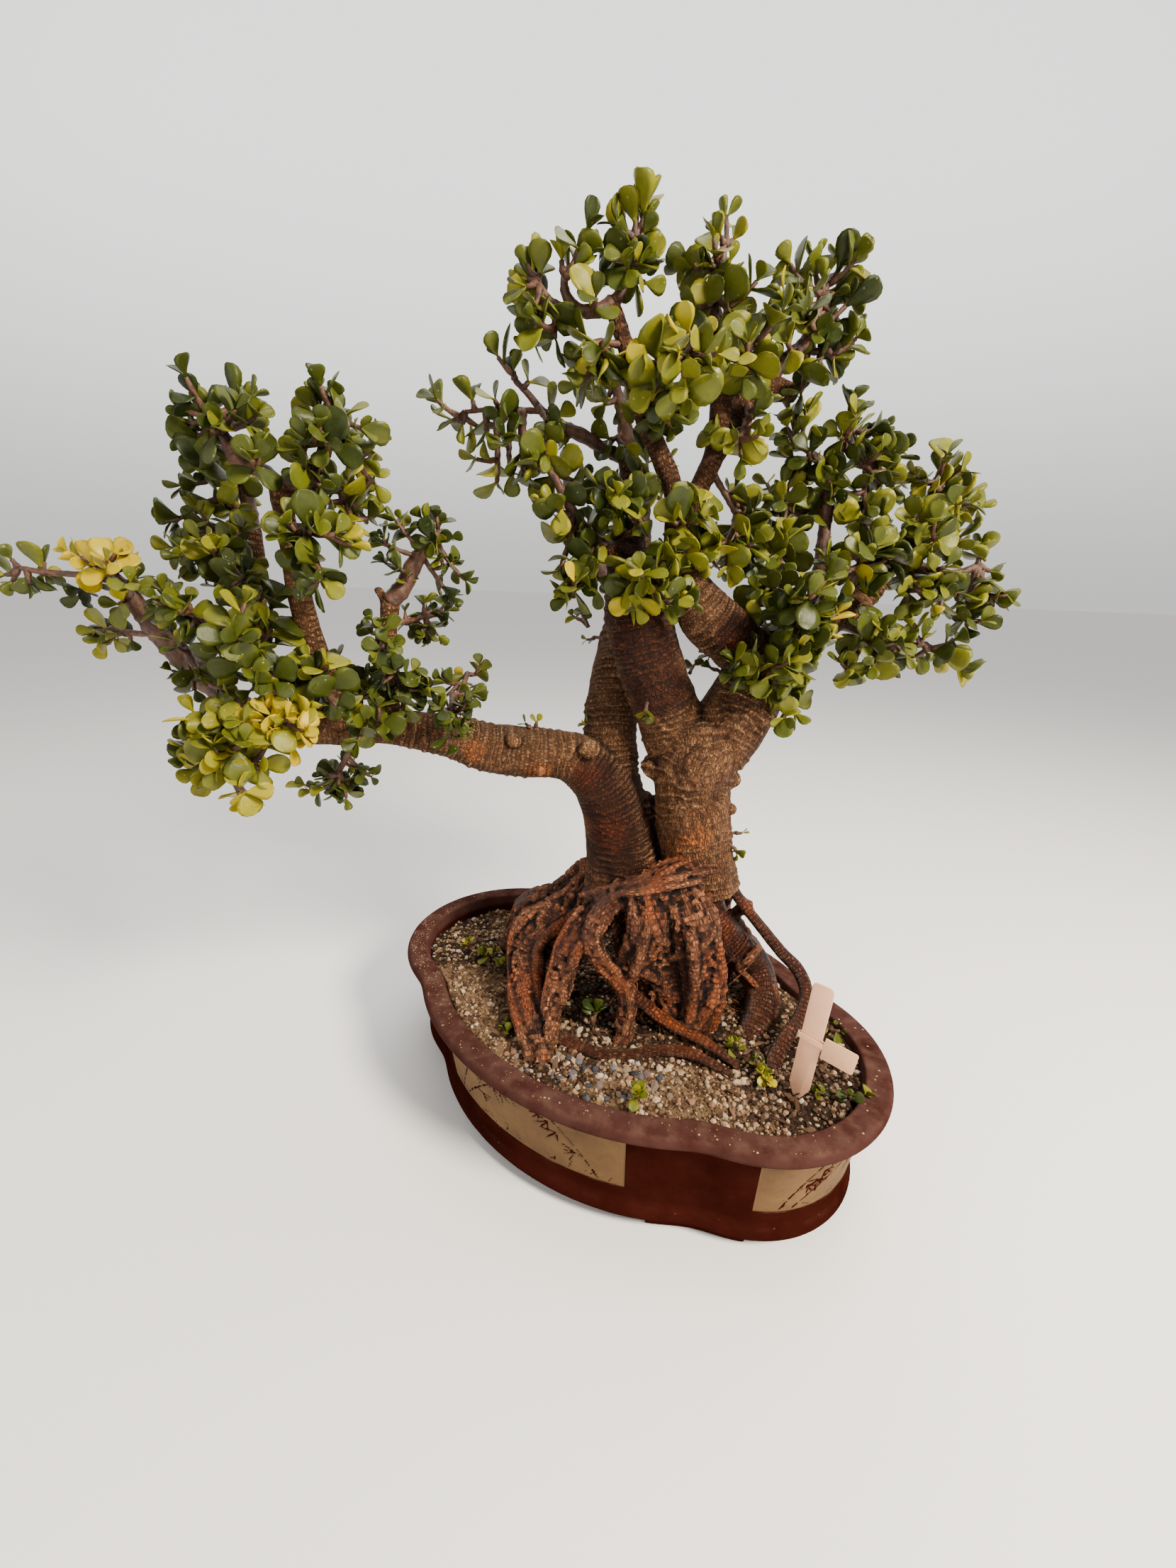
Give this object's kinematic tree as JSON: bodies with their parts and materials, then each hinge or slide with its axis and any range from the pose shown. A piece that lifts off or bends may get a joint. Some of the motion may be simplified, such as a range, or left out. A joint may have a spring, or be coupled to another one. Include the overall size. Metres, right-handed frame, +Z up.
{
  "type": "potted bonsai tree",
  "caption": "Old twin-trunked dwarf jade bonsai with gnarled exposed roots and a long left limb, in a shallow four-lobed unglazed clay pot filled with gritty soil.",
  "frame": {"origin": "middle of the plane that the pot stands on, at the flat underside of its centre foot", "axes": "+Z up, X along the pot's long axis, -Y towards the side that the picture shows"},
  "size_m": [0.4819, 0.4391, 0.5967],
  "materials": {
    "clay": "unglazed dark red-brown stoneware, dusty rim, buff panels",
    "soil": "gritty mix of pumice, gravel, clay grains and bark bits",
    "bark": "mottled grey-brown bark with ring scars, red-brown fibrous roots",
    "leaves": "succulent olive-green leaves with a soft wax sheen on red-brown twigs",
    "drain_mesh": "black plastic mesh",
    "label_plastic": "plain cream plastic plant label",
    "tag_paper": "plain off-white tag"
  },
  "bodies": {
    "root": {"bough_centre_low": "leaves", "bough_centre_right": "leaves", "bough_crown_centre": "leaves", "bough_crown_front": "leaves", "bough_crown_left": "leaves", "bough_crown_left_inner": "leaves", "bough_crown_mid_gap": "leaves", "bough_crown_mid_right": "leaves", "bough_crown_right": "leaves", "bough_crown_right_low": "leaves", "bough_crown_stub": "leaves", "bough_crown_top": "leaves", "bough_far_left": "leaves", "bough_grey_top": "leaves", "bough_leader_front": "leaves", "bough_left_back_east": "leaves", "bough_left_fore": "leaves", "bough_left_front_mid": "leaves", "bough_left_inner": "leaves", "bough_left_rear_top": "leaves", "bough_left_top_east": "leaves", "bough_left_top_west": "leaves", "bough_limb_end": "leaves", "bough_limb_front": "leaves", "bough_limb_top_mid": "leaves", "bough_limb_top_right": "leaves", "bough_limb_under": "leaves", "bough_mid_upright_foot": "leaves", "bough_mid_upright_left": "leaves", "bough_mid_upright_side": "leaves", "bough_mid_upright_top": "leaves", "bough_rear_left": "leaves", "bough_rear_right": "leaves", "bough_rear_top": "leaves", "bough_right_centre": "leaves", "bough_right_end": "leaves", "bough_right_foot": "leaves", "bough_right_front": "leaves", "bough_right_inner": "leaves", "bough_right_low": "leaves", "bough_right_mid_top": "leaves", "bough_right_top": "leaves", "bough_right_upright": "leaves", "bough_torn_front": "leaves", "bough_upright_foot": "leaves", "bough_west_branch": "leaves", "bough_west_low": "leaves", "drain_screen_east": "drain_mesh", "drain_screen_west": "drain_mesh", "plant_label": "label_plastic", "pot": "clay", "price_tag": "tag_paper", "seedling_1": "leaves", "seedling_2": "leaves", "seedling_3": "leaves", "soil": "soil", "tree_wood": "bark"}
  },
  "joints": []
}
